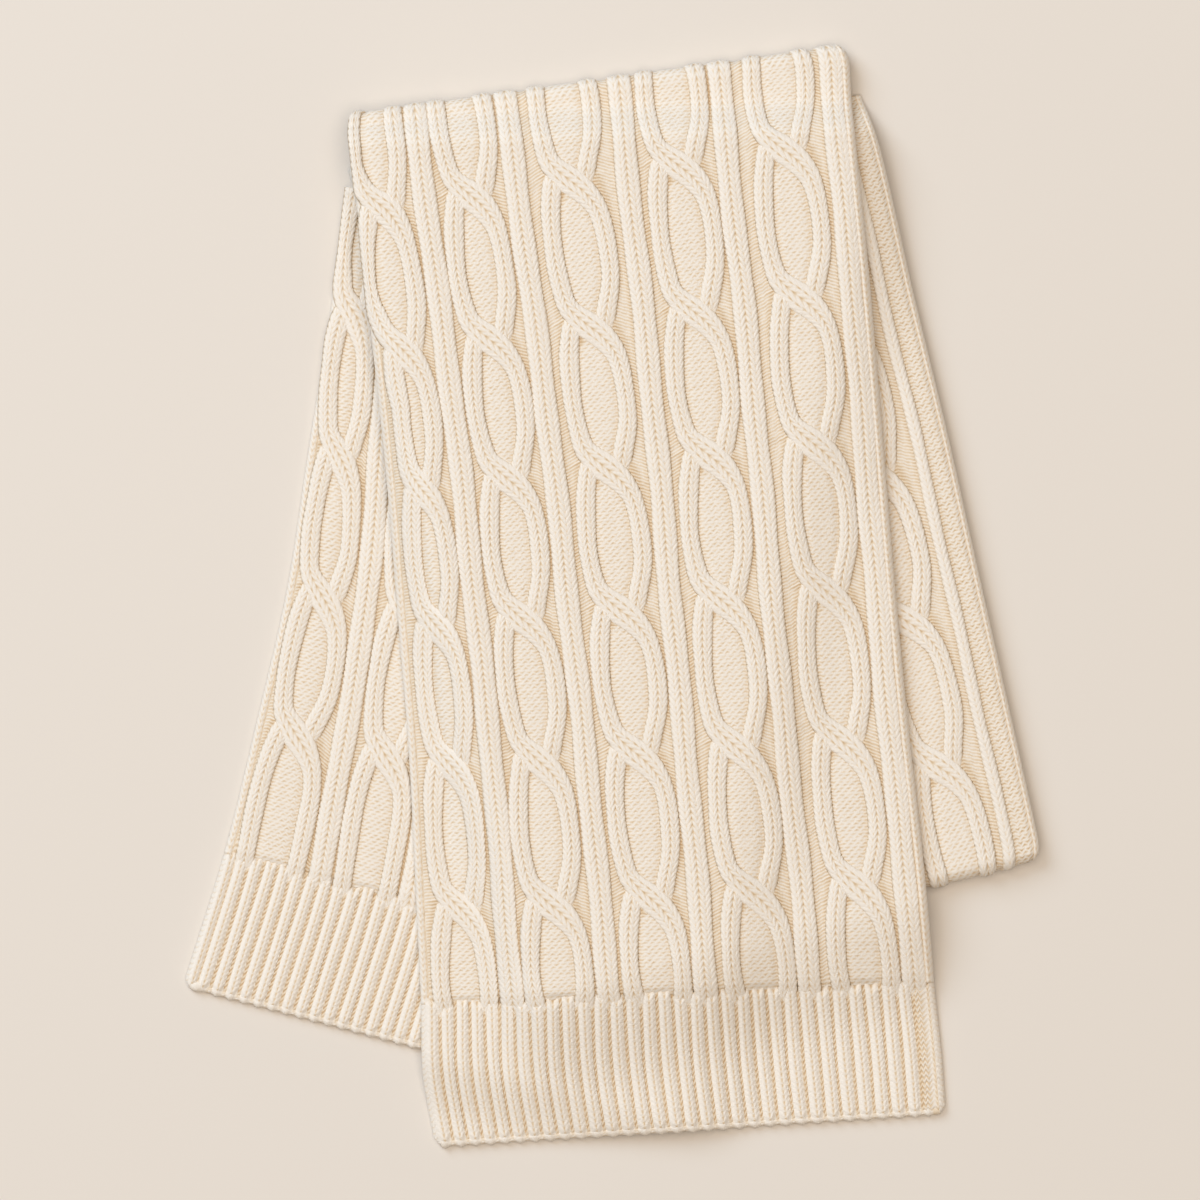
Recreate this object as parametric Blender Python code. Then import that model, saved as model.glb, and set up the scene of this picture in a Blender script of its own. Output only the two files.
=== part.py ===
"""A chunky cable knit scarf, folded in four stretches and laid flat.

Lengths in the tables are in millimetres and the scene is in metres. The origin lies on the surface, under
the middle of the folded scarf, +Z is up and the ribbed borders point towards -Y.
"""

import math

import bmesh
import bpy

MM = 0.001

WALL = 3.0
SEAM = 0.3
HIDDEN_THICK = 4.4
EDGE_THICK = 1.5
GROUND_RISE = 0.5
FOLD_STEPS = 6
FOLD_TAIL = 8.0

CABLE = {"swing": 12.7, "pinch": 4.3, "half_turn": 0.16, "crest": 2.4, "foot": 5.4, "rise": 3.0}
RIB = {"crest": 3.0, "foot": 6.0, "rise": 2.8}
RIB_SCALE = {"rib": 1.0, "narrow rib": 0.55}
BORDER_RIB = {"crest": 1.9, "rise": 2.2, "count": 33, "first_pitch": 0.0294, "growth": 0.0000857}

# Fractions of a cable repeat, counted upwards from a crossing, at which the body has a row of points.
ROW_TURNS = (-0.13, 0.0, 0.13, 0.3, 0.5, 0.7)

# Height that a stretch adds under the one above it.
LAYER = {"right": 7.2, "inner": 6.5, "left": 6.5}

# Outline of a stretch that lies under another one, anticlockwise: x, y of a corner, then how far outside the
# edge that starts there the upper stretch has sunk back.
LYING = {
    "right": ((-32.8, -193.3, 60.0), (211.7, -134.2, 32.0), (121.8, 270.9, 32.0), (-131.2, 240.0, 32.0)),
    "inner": ((-32.8, -193.3, 48.0), (211.7, -134.2, 32.0), (120.8, 227.6, 20.0), (-129.2, 221.2, 32.0)),
    "left": ((-213.2, -193.8, 32.0), (29.8, -258.0, 32.0), (120.8, 227.6, 20.0), (-130.2, 221.2, 32.0)),
}

# Rows across each stretch: distance along it, then x, y of its left end and x, y of its right end.
FRONT_ROWS = (
    (0.0, -88.0, -273.6, 166.0, -257.2),
    (68.0, -94.9, -203.3, 160.0, -192.3),
    (122.0, -97.4, -151.6, 154.6, -135.7),
    (194.5, -100.9, -79.5, 146.6, -63.1),
    (266.0, -106.4, -11.4, 139.7, 11.4),
    (337.0, -111.8, 55.7, 133.7, 84.5),
    (408.5, -118.8, 123.3, 127.5, 157.5),
    (481.0, -126.7, 194.8, 120.0, 232.1),
    (517.5, -130.8, 231.8, 118.0, 266.8),
)
RIGHT_ROWS = (
    (0.0, -30.4, -184.0, 212.6, -125.6),
    (54.0, -43.0, -127.0, 200.2, -69.6),
    (128.5, -60.2, -53.0, 184.0, 2.5),
    (203.0, -77.6, 20.9, 167.4, 76.7),
    (277.0, -95.0, 97.5, 150.1, 148.1),
    (351.0, -112.4, 173.6, 133.2, 220.7),
    (393.0, -126.6, 219.0, 122.4, 252.0),
)
INNER_ROWS = (
    (0.0, -36.0, -173.0, 203.6, -114.6),
    (200.0, -81.0, 22.0, 163.0, 56.0),
    (393.0, -128.4, 213.0, 119.4, 219.6),
)
LEFT_ROWS = (
    (0.0, -213.2, -193.8, 28.6, -257.6),
    (68.5, -192.8, -128.2, 48.9, -192.1),
    (136.5, -176.7, -63.1, 66.2, -122.0),
    (204.5, -161.6, 3.2, 83.0, -48.7),
    (277.0, -150.6, 74.6, 96.0, 33.4),
    (348.5, -139.4, 144.6, 108.4, 111.6),
    (407.0, -131.6, 206.0, 118.0, 205.2),
)

# Lines along a stretch: kind, then the axis as a share of the width at its top and at its ribbed border.
FRONT_LINES = (
    ("cable", 0.054, 0.092),
    ("rib", 0.125, 0.184),
    ("cable", 0.222, 0.268),
    ("rib", 0.318, 0.370),
    ("cable", 0.425, 0.466),
    ("rib", 0.547, 0.563),
    ("cable", 0.642, 0.662),
    ("rib", 0.742, 0.760),
    ("cable", 0.853, 0.866),
    ("rib", 0.966, 0.966),
)
LEFT_LINES = (
    ("cable", 0.048, 0.090),
    ("rib", 0.108, 0.196),
    ("cable", 0.190, 0.284),
    ("rib", 0.290, 0.380),
)
RIGHT_LINES = (
    ("cable", 0.836, 0.836),
    ("narrow rib", 0.936, 0.936),
)


def hermite(knots, values, at):
    """Smooth curve through values at knots, carried on straight beyond both ends."""
    last = len(knots) - 1
    slopes = []
    for i in range(last + 1):
        before = max(i - 1, 0)
        after = min(i + 1, last)
        slopes.append((values[after] - values[before]) / (knots[after] - knots[before]))
    if at <= knots[0]:
        return values[0] + slopes[0] * (at - knots[0])
    if at >= knots[last]:
        return values[last] + slopes[last] * (at - knots[last])
    i = max(k for k in range(last) if knots[k] <= at)
    span = knots[i + 1] - knots[i]
    t = (at - knots[i]) / span
    return (
        (1 + 2 * t) * (1 - t) ** 2 * values[i]
        + t * (1 - t) ** 2 * span * slopes[i]
        + t * t * (3 - 2 * t) * values[i + 1]
        - t * t * (1 - t) * span * slopes[i + 1]
    )


def ease(t):
    t = min(max(t, 0.0), 1.0)
    return t * t * (3 - 2 * t)


def mix(a, b, t):
    return a + (b - a) * t


def place(rows, along, across):
    """x, y of the point that lies across millimetres from the left edge, along millimetres up a stretch."""
    knots = [row[0] for row in rows]
    x0, y0, x1, y1 = (hermite(knots, [row[i] for row in rows], along) for i in (1, 2, 3, 4))
    share = across / math.hypot(x1 - x0, y1 - y0)
    return mix(x0, x1, share), mix(y0, y1, share)


def width(rows, along):
    x0, y0 = place(rows, along, 0.0)
    knots = [row[0] for row in rows]
    x1, y1 = (hermite(knots, [row[i] for row in rows], along) for i in (3, 4))
    return math.hypot(x1 - x0, y1 - y0)


def cover(name, x, y):
    """1 over a stretch that lies below, falling smoothly to 0 outside its outline."""
    corners = LYING[name]
    share = 1.0
    for i, (ax, ay, fall) in enumerate(corners):
        bx, by, _ = corners[(i + 1) % 4]
        length = math.hypot(bx - ax, by - ay)
        inward = ((bx - ax) * (y - ay) - (by - ay) * (x - ax)) / length
        share *= ease(1 + inward / fall)
    return share


def lift(names, x, y):
    return sum(LAYER[name] * cover(name, x, y) for name in names)


def edge_points(near, far):
    """Offset and thickness of the points over a rolled edge, from the outside inwards."""
    return [
        (near, EDGE_THICK),
        (mix(near, far, 0.3), 4.3),
        (mix(near, far, 0.75), 5.0),
        (far, WALL + GROUND_RISE),
    ]


def cable_points(axis, turn, reaches):
    """Offset and thickness over a cable whose strands swing out to at most reaches from its axis."""
    near = abs(turn - round(turn))
    swing = math.hypot(CABLE["pinch"], CABLE["swing"] * math.tanh(near / CABLE["half_turn"]))
    above = math.sin(2 * math.pi * (turn - round(turn))) * ease(2 - near / CABLE["half_turn"])
    points = []
    for side, reach in zip((-1, 1), reaches):
        out = min(swing, max(reach, CABLE["pinch"]))
        over = -side * above
        crest = WALL + CABLE["rise"] + over * (0.25 if over > 0 else 0.9)
        open_loop = ease((out - CABLE["pinch"]) / 5)
        inner = mix(crest, WALL + GROUND_RISE, open_loop)
        strand = [
            (axis + side * (out + CABLE["foot"]), WALL + GROUND_RISE),
            (axis + side * (out + CABLE["crest"]), crest - 0.2),
            (axis + side * (out - CABLE["crest"]), crest),
            (axis + side * max(out - CABLE["foot"], 0.6), inner),
        ]
        points += strand if side < 0 else strand[::-1]
    return points


def rib_points(axis, scale):
    return [
        (axis - scale * RIB["foot"], WALL + 0.2),
        (axis - scale * RIB["crest"], WALL + RIB["rise"]),
        (axis + scale * RIB["crest"], WALL + RIB["rise"]),
        (axis + scale * RIB["foot"], WALL + 0.2),
    ]


def spread(points, least=0.5):
    """The same points with each at least this far to the right of the one before it."""
    out = [points[0]]
    for offset, thick in points[1:]:
        out.append((max(offset, out[-1][0] + least), thick))
    return out


def line_points(lines, share, turn, whole, start):
    """Offset and thickness over cables and ribs, from start on. Each cable keeps clear of its neighbours."""
    axes = [mix(bottom, top, share) * whole for _, top, bottom in lines]
    feet = [RIB["foot"] * RIB_SCALE.get(kind, 0.0) for kind, _, _ in lines]
    points = []
    for i, (kind, _, _) in enumerate(lines):
        if kind == "cable":
            before = axes[i - 1] + feet[i - 1] if i else start
            after = axes[i + 1] - feet[i + 1]
            reaches = (axes[i] - before - CABLE["foot"], after - axes[i] - CABLE["foot"])
            points += cable_points(axes[i], turn, reaches)
        else:
            points += rib_points(axes[i], RIB_SCALE[kind])
    return points


def front_profile(along):
    whole = width(FRONT_ROWS, along)
    share = (along - 68.0) / 450.0
    roll = mix(5.2, 1.5, ease(share * 1.3))
    points = edge_points(0.0, roll)
    points += line_points(FRONT_LINES, share, (along - 119.5) / 71.7, whole, roll)
    last = points.pop()[0]
    points += [(min(last, whole - 1.2), WALL + 1.6), (whole, EDGE_THICK)]
    return spread(points)


def right_profile(along):
    whole = width(RIGHT_ROWS, along)
    points = [(0.0, EDGE_THICK)] + [(16.0 * i, HIDDEN_THICK) for i in range(1, 11)]
    points += line_points(RIGHT_LINES, 0.0, (along - 51.0) / 74.3, whole, 170.0)
    points += [(whole - offset, thick) for offset, thick in edge_points(0.0, 6.4)[::-1]]
    shown = whole - mix(58.0, 4.0, along / 388.0)
    lowered = [
        (offset, mix(thick, min(thick, HIDDEN_THICK), ease((shown - 12.0 - offset) / 6.0)))
        for offset, thick in points
    ]
    return spread(lowered)


def left_profile(along):
    whole = width(LEFT_ROWS, along)
    share = (along - 68.5) / 340.0
    roll = mix(4.6, 1.2, ease(share * 1.3))
    points = edge_points(0.0, roll)
    points += line_points(LEFT_LINES, share, (along - 68.5) / 69.5, whole, roll)
    start = points[-1][0] + 9.0
    points += [(mix(start, whole, i / 8), HIDDEN_THICK) for i in range(8)]
    return spread(points + [(whole, EDGE_THICK)])


def inner_profile(along):
    whole = width(INNER_ROWS, along)
    inside = [(mix(4.0, whole - 4.0, i / 16), HIDDEN_THICK) for i in range(17)]
    return [(0.0, EDGE_THICK)] + inside + [(whole, EDGE_THICK)]


def border_profile(rows, along, shown, edge):
    """Single ribs side by side. Only the first ones that show are raised, and edge thins the cast-off row."""
    whole = width(rows, along)
    points = [(0.0, EDGE_THICK)]
    pitch, growth = BORDER_RIB["first_pitch"], BORDER_RIB["growth"]
    bounds = [pitch * i + growth * i * i for i in range(BORDER_RIB["count"] + 1)]
    bounds = [whole * bound / bounds[-1] for bound in bounds]
    for i in range(shown):
        middle = (bounds[i] + bounds[i + 1]) / 2
        if i:
            points.append((bounds[i], WALL - edge))
        for side in (-1, 1):
            points.append((middle + side * BORDER_RIB["crest"], WALL + BORDER_RIB["rise"] - edge))
    if shown < BORDER_RIB["count"]:
        points += [(mix(bounds[shown], whole, i / 6), WALL - edge + (1.5 if i else 0)) for i in range(6)]
    return spread(points + [(whole, EDGE_THICK)])


def body_rows(first_crossing, repeat, start, end):
    rows = [start]
    for turn in range(-2, 8):
        for fraction in ROW_TURNS:
            along = first_crossing + repeat * (turn + fraction)
            if start + 4.0 < along < end - 4.0:
                rows.append(along)
    return rows + [end]


def evenly(start, end, count):
    return [mix(start, end, i / count) for i in range(count + 1)]


def fold_rows(rows, profile, end, names):
    """Outer and inner points, row by row, of the turn at the end of a stretch, then of its short tail below."""
    x0, y0 = place(rows, end, 0.0)
    x1, y1 = place(rows, end, width(rows, end))
    length = math.hypot(x1 - x0, y1 - y0)
    up = end > rows[0][0] + 1.0
    out_x, out_y = (-(y1 - y0) / length, (x1 - x0) / length) if up else ((y1 - y0) / length, -(x1 - x0) / length)
    bend = (LAYER[names[0]] - WALL) / 2
    points = profile(end)
    outer = []
    inner = []
    for step in range(1, FOLD_STEPS + 2):
        angle = math.pi * min(step, FOLD_STEPS) / FOLD_STEPS
        back = FOLD_TAIL if step > FOLD_STEPS else 0.0
        fade = 1 - ease((angle - 1.3) / 1.3)
        outer_row = []
        inner_row = []
        for offset, thick in points:
            x, y = place(rows, end, offset)
            base = lift(names, x, y)
            reach = bend + mix(WALL, thick, fade)
            out = reach * math.sin(angle) - back
            spot = (x + out_x * out, y + out_y * out)
            low = lift(names[1:], *spot) if back else lift(names[1:], x, y)
            outer_row.append((*spot, mix(low, base, (1 + math.cos(angle)) / 2) + bend_height(angle, reach, bend)))
            tip = bend * math.sin(angle) - back
            spot = (x + out_x * tip, y + out_y * tip)
            low = lift(names[1:], *spot) if back else lift(names[1:], x, y)
            inner_row.append((*spot, mix(low, base, (1 + math.cos(angle)) / 2) + bend_height(angle, bend, bend)))
        outer.append(outer_row)
        inner.append(inner_row)
    return outer, inner


def bend_height(angle, reach, bend):
    """Height over the lower stretch's underside, less the share of a layer that the mix already holds."""
    layer = WALL + 2 * bend
    return WALL + bend + reach * math.cos(angle) - layer * (1 + math.cos(angle)) / 2


def body_of(outer, inner, keep):
    """A closed body between a fine outer grid and an inner grid of the kept columns of the same rows."""
    mesh = bmesh.new()
    top = [[mesh.verts.new((x * MM, y * MM, z * MM)) for x, y, z in row] for row in outer]
    low = [[mesh.verts.new(tuple(value * MM for value in row[i])) for i in keep] for row in inner]
    for row in range(len(top) - 1):
        for i in range(len(top[0]) - 1):
            mesh.faces.new((top[row][i], top[row][i + 1], top[row + 1][i + 1], top[row + 1][i]))
        for i in range(len(keep) - 1):
            mesh.faces.new((low[row][i], low[row + 1][i], low[row + 1][i + 1], low[row][i + 1]))
        mesh.faces.new((top[row][0], top[row + 1][0], low[row + 1][0], low[row][0]))
        mesh.faces.new((top[row][-1], low[row][-1], low[row + 1][-1], top[row + 1][-1]))
    for row, turned in ((0, False), (-1, True)):
        for i in range(len(keep) - 1):
            first, last = keep[i], keep[i + 1]
            loop = [low[row][i], low[row][i + 1]] + [top[row][k] for k in range(last, first - 1, -1)]
            mesh.faces.new(loop[::-1] if turned else loop)
    return mesh


def sheet(name, rows, profile, along_rows, names, spacing, fold=None):
    """Builds one stretch as an object: names are the stretches under it, fold is the end that turns under."""
    outer = []
    inner = []
    for along in along_rows:
        outer_row = []
        inner_row = []
        for offset, thick in profile(along):
            x, y = place(rows, along, offset)
            base = lift(names, x, y)
            outer_row.append((x, y, base + thick))
            inner_row.append((x, y, base))
        outer.append(outer_row)
        inner.append(inner_row)
    if fold is not None:
        turn_outer, turn_inner = fold_rows(rows, profile, fold, names)
        if fold == along_rows[-1]:
            outer += turn_outer
            inner += turn_inner
        else:
            outer = turn_outer[::-1] + outer
            inner = turn_inner[::-1] + inner
    points = profile(along_rows[len(along_rows) // 2])
    keep = [0]
    for i in range(1, len(points) - 1):
        if points[i][0] - points[keep[-1]][0] >= spacing and points[-1][0] - points[i][0] >= spacing / 2:
            keep.append(i)
    keep.append(len(points) - 1)
    made = body_of(outer, inner, keep)
    mesh = bpy.data.meshes.new(name)
    made.to_mesh(mesh)
    made.free()
    obj = bpy.data.objects.new(name, mesh)
    bpy.context.scene.collection.objects.link(obj)
    for polygon in mesh.polygons:
        polygon.use_smooth = True
    return obj


def knit(name, shade):
    material = bpy.data.materials.new(name)
    material.use_nodes = True
    surface = material.node_tree.nodes["Principled BSDF"]
    surface.inputs["Base Color"].default_value = (*shade, 1.0)
    surface.inputs["Roughness"].default_value = 0.95
    return material


for leftover in list(bpy.data.objects):
    bpy.data.objects.remove(leftover)

CREAM = (0.80, 0.70, 0.55)

front_end = FRONT_ROWS[-1][0]
front = sheet(
    "front_stretch",
    FRONT_ROWS,
    front_profile,
    body_rows(119.5, 71.7, 68.0 + SEAM / 2, front_end),
    ("right", "inner", "left"),
    13.0,
    fold=front_end,
)
front.data.materials.append(knit("front_wool", CREAM))

front_border = sheet(
    "front_rib_border",
    FRONT_ROWS,
    lambda along: border_profile(FRONT_ROWS, along, BORDER_RIB["count"], 1.2 if along < 1 else 0.0),
    [0.0, 2.5, 25.0, 46.0, 68.0 - SEAM / 2],
    ("right", "inner", "left"),
    11.0,
)
front_border.data.materials.append(knit("front_border_wool", CREAM))

right = sheet(
    "right_stretch",
    RIGHT_ROWS,
    right_profile,
    body_rows(51.0, 74.3, 0.0, 388.0),
    ("inner", "left"),
    15.0,
    fold=0.0,
)
right.data.materials.append(knit("right_wool", CREAM))

inner_stretch = sheet(
    "inner_stretch",
    INNER_ROWS,
    inner_profile,
    evenly(0.0, 393.0, 20),
    ("left",),
    14.0,
    fold=393.0,
)
inner_stretch.data.materials.append(knit("inner_wool", CREAM))

left = sheet(
    "left_stretch",
    LEFT_ROWS,
    left_profile,
    body_rows(68.5, 69.5, 68.5 + SEAM / 2, 400.0),
    (),
    15.0,
)
left.data.materials.append(knit("left_wool", CREAM))

left_border = sheet(
    "left_rib_border",
    LEFT_ROWS,
    lambda along: border_profile(LEFT_ROWS, along, 20, 1.2 if along < 1 else 0.0),
    [0.0, 2.5, 35.0, 68.5 - SEAM / 2],
    (),
    14.0,
)
left_border.data.materials.append(knit("left_border_wool", CREAM))
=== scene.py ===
import math

import bmesh
import bpy
import numpy as np
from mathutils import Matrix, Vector


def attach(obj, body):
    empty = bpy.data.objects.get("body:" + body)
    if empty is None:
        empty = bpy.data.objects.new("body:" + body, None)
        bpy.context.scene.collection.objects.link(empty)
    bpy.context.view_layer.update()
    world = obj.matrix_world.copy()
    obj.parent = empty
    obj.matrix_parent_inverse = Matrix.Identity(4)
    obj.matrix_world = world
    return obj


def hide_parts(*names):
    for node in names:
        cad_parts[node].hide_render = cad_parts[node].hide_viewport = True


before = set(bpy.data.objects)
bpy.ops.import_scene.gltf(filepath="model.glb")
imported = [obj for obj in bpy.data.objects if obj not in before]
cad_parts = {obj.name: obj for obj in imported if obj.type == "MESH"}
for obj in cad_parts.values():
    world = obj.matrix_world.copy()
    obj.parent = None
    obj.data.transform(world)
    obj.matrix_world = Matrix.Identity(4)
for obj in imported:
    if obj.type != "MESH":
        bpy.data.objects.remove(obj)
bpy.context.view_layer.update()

# A chunky cable knit scarf, folded in four stretches. Lengths are millimetres until a point is stored.
mm = 0.001

cloth = {
    "wall": 3.0,            # thickness of the plain cloth between its cables
    "hidden": 4.4,          # thickness where it is out of sight
    "edge": 1.5,            # height and inset of the outermost point of a plain edge
    "ground": 0.9,          # how far the purl ground stands over the wall
    "course": 3.26,         # one row of stitches along a stretch
    "purlWale": 3.6,        # two columns of purl bumps
    "foldTail": 8.0,        # cloth that carries on under a fold
    "corner": 6.0,          # how round the corners of a fold are
    "cornerShare": 0.97,    # how much of that is drawn in by the middle of the turn
    "cornerReach": 40.0,    # how far in from the edge the rounding is felt
    "sinkAngle": 1.3,       # radians round a fold where cables start to sink in, and over which they do
}

# What a stretch adds under the one above it, and its outline: x, y of a corner, then how far outside the edge
# that starts there the upper stretch has sunk back.
layers = {
    "right": {"height": 7.2, "outline": (
        (-32.8, -193.3, 68.0), (211.7, -134.2, 32.0), (121.8, 270.9, 32.0), (-131.2, 240.0, 32.0))},
    "inner": {"height": 6.5, "outline": (
        (-32.8, -193.3, 60.0), (211.7, -134.2, 32.0), (120.8, 227.6, 20.0), (-129.2, 221.2, 32.0))},
    "left": {"height": 6.5, "outline": (
        (-213.2, -193.8, 32.0), (29.8, -258.0, 46.0), (120.8, 227.6, 20.0), (-130.2, 221.2, 32.0))},
}

# Each stretch:
# rows         distance along it, x, y of its left end, x, y of its right end
# under        the layers beneath it, from the top
# fold         where along it the cloth starts to turn under, and foldWay the direction in which it gets there
# lines        kind, then the axis as a share of the width at lineEnds' far end and at its near end
# crossing     where a cable crosses, and repeat the distance to the next crossing
# leftOfFirst  distance along, and how far left the first cable may swing there
# rightRoll    width and height of its right edge, as shares of the left one's
front = {
    "rows": (
        (0.0, -88.0, -273.6, 166.0, -257.2),
        (34.0, -94.0, -238.4, 163.6, -224.7),
        (68.0, -94.9, -203.3, 160.0, -192.3),
        (122.0, -97.4, -151.6, 154.6, -135.7),
        (194.5, -100.9, -79.5, 146.6, -63.1),
        (266.0, -106.4, -11.4, 139.7, 11.4),
        (337.0, -111.8, 55.7, 133.7, 84.5),
        (408.5, -118.8, 123.3, 127.5, 157.5),
        (481.0, -126.7, 194.8, 120.0, 232.1),
        (517.5, -130.8, 231.8, 118.0, 266.8),
    ),
    "under": ("right", "inner", "left"),
    "fold": 517.5,
    "foldWay": 1,
    "lines": (
        ("cable", 0.054, 0.092),
        ("rib", 0.133, 0.178),
        ("cable", 0.224, 0.267),
        ("rib", 0.315, 0.367),
        ("cable", 0.424, 0.463),
        ("rib", 0.540, 0.556),
        ("cable", 0.640, 0.660),
        ("rib", 0.740, 0.758),
        ("cable", 0.853, 0.866),
        ("rib", 0.962, 0.960),
    ),
    "lineEnds": (68.0, 518.0),
    "crossing": 119.5,
    "repeat": 71.7,
    "leftOfFirst": ((375.0, 5.0), (400.0, 2.0), (435.0, -4.0)),
    "rightRoll": (1.15, 1.42),
}
right = {
    "rows": (
        (0.0, -30.4, -184.0, 212.6, -125.6),
        (54.0, -43.0, -127.0, 200.2, -69.6),
        (128.5, -60.2, -53.0, 184.0, 2.5),
        (203.0, -77.6, 20.9, 167.4, 76.7),
        (277.0, -95.0, 97.5, 150.1, 148.1),
        (351.0, -112.4, 173.6, 133.2, 220.7),
        (393.0, -126.6, 219.0, 122.4, 252.0),
    ),
    "under": ("inner", "left"),
    "fold": 0.0,
    "foldWay": -1,
    "lines": (("cable", 0.836, 0.836), ("narrow rib", 0.937, 0.937)),
    "lineEnds": (0.0, 393.0),
    "crossing": 51.0,
    "repeat": 74.3,
    "rightRoll": (0.85, 1.0),
}
inner = {
    "rows": (
        (0.0, -36.0, -173.0, 203.6, -114.6),
        (200.0, -81.0, 22.0, 163.0, 56.0),
        (393.0, -132.0, 213.4, 119.4, 219.6),
    ),
    "under": ("left",),
    "fold": 393.0,
    "foldWay": 1,
}
left = {
    "rows": (
        (0.0, -213.2, -193.8, 28.6, -257.6),
        (68.5, -192.8, -128.2, 48.9, -192.1),
        (136.5, -176.7, -63.1, 66.2, -122.0),
        (204.5, -161.6, 3.2, 83.0, -48.7),
        (277.0, -150.6, 74.6, 96.0, 33.4),
        (348.5, -139.4, 144.6, 108.4, 111.6),
        (407.0, -131.6, 206.0, 118.0, 205.2),
    ),
    "under": (),
    "fold": None,
    "lines": (("cable", 0.048, 0.090), ("rib", 0.108, 0.196), ("cable", 0.190, 0.284), ("rib", 0.290, 0.380)),
    "lineEnds": (68.5, 408.5),
    "crossing": 68.5,
    "repeat": 69.5,
    "leftOfFirst": ((68.5, 4.6), (200.0, 2.6), (280.0, 1.4), (340.0, -2.6)),
    "calmBelow": 100.0,     # the strands run straighter from here to the border
    "rightRoll": (1.0, 1.0),
}


def ease(t):
    t = np.clip(t, 0.0, 1.0)
    return t * t * (3 - 2 * t)


def mix(a, b, t):
    return a + (b - a) * t


def curveThrough(knots, values, at):  # smooth through values at knots, and straight beyond both ends
    knots, values = np.array(knots, float), np.array(values, float)
    last = len(knots) - 1
    before, after = np.maximum(np.arange(last + 1) - 1, 0), np.minimum(np.arange(last + 1) + 1, last)
    slopes = (values[after] - values[before]) / (knots[after] - knots[before])
    i = np.clip(np.searchsorted(knots, at, side="right") - 1, 0, last - 1)
    span = knots[i + 1] - knots[i]
    t = (at - knots[i]) / span
    inside = (
        (1 + 2 * t) * (1 - t) ** 2 * values[i] + t * (1 - t) ** 2 * span * slopes[i]
        + t * t * (3 - 2 * t) * values[i + 1] - t * t * (1 - t) * span * slopes[i + 1]
    )
    low = values[0] + slopes[0] * (at - knots[0])
    high = values[last] + slopes[last] * (at - knots[last])
    return np.where(at < knots[0], low, np.where(at > knots[last], high, inside))


def rowEnds(piece, along):
    knots = [row[0] for row in piece["rows"]]
    return [curveThrough(knots, [row[i] for row in piece["rows"]], along) for i in (1, 2, 3, 4)]


def widthAt(piece, along):
    x0, y0, x1, y1 = rowEnds(piece, along)
    return np.hypot(x1 - x0, y1 - y0)


def lift(names, x, y):  # height of a stretch's underside over those beneath it
    total = np.zeros(np.shape(x))
    for name in names:
        corners = layers[name]["outline"]
        share = np.ones(np.shape(x))
        for i, (ax, ay, fall) in enumerate(corners):
            bx, by, _ = corners[(i + 1) % len(corners)]
            inward = ((bx - ax) * (y - ay) - (by - ay) * (x - ax)) / math.hypot(bx - ax, by - ay)
            share = share * ease(1 + inward / fall)
        total = total + layers[name]["height"] * share
    return total


def turnOf(piece):  # inner radius of the turn at a fold, and the length of cloth in its half circle
    bend = (layers[piece["under"][0]]["height"] - cloth["wall"]) / 2
    return bend, math.pi * (bend + cloth["wall"])


# Gives x, y, z of points on a stretch, height over its underside, carried round its fold where they are past it.
def layOn(piece, along, across, height):
    along, across, height = np.broadcast_arrays(along, across, height)
    fold = piece["fold"]
    past = np.zeros(along.shape) if fold is None else np.maximum((along - fold) * piece["foldWay"], 0.0)
    x0, y0, x1, y1 = rowEnds(piece, along if fold is None else along - past * piece["foldWay"])
    length = np.hypot(x1 - x0, y1 - y0)
    if fold is not None:
        corner, reach = cloth["corner"], cloth["cornerReach"]
        turned = np.clip(((along - fold) * piece["foldWay"] + corner) / (corner + turnOf(piece)[1] / 2), 0, 1)
        inset = corner * (1 - np.sqrt(1 - cloth["cornerShare"] * turned ** 2))
        across = across + inset * (np.clip(1 - across / reach, 0, 1) - np.clip(1 - (length - across) / reach, 0, 1))
    x, y = x0 + (x1 - x0) * across / length, y0 + (y1 - y0) * across / length
    flat = lift(piece["under"], x, y)
    if fold is None:
        return np.stack([x, y, flat + height], axis=-1)
    bend, arc = turnOf(piece)
    wall = cloth["wall"]
    angle = np.minimum(past / (bend + wall), math.pi)
    back = np.maximum(past - arc, 0.0)
    fade = 1 - ease((angle - cloth["sinkAngle"]) / cloth["sinkAngle"])
    reach = bend + np.where(height > wall, wall + (height - wall) * fade, height)
    out = reach * np.sin(angle) - back
    outX, outY = -(y1 - y0) / length * piece["foldWay"], (x1 - x0) / length * piece["foldWay"]
    slip = np.minimum(out, 0.0)
    low = lift(piece["under"][1:], x + outX * slip, y + outY * slip)
    share = (1 + np.cos(angle)) / 2
    turned = mix(low, flat, share) + wall + bend + reach * np.cos(angle) - (wall + 2 * bend) * share
    gone = past > 0
    return np.stack(
        [x + np.where(gone, outX * out, 0), y + np.where(gone, outY * out, 0), np.where(gone, turned, flat + height)],
        axis=-1,
    )


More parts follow.
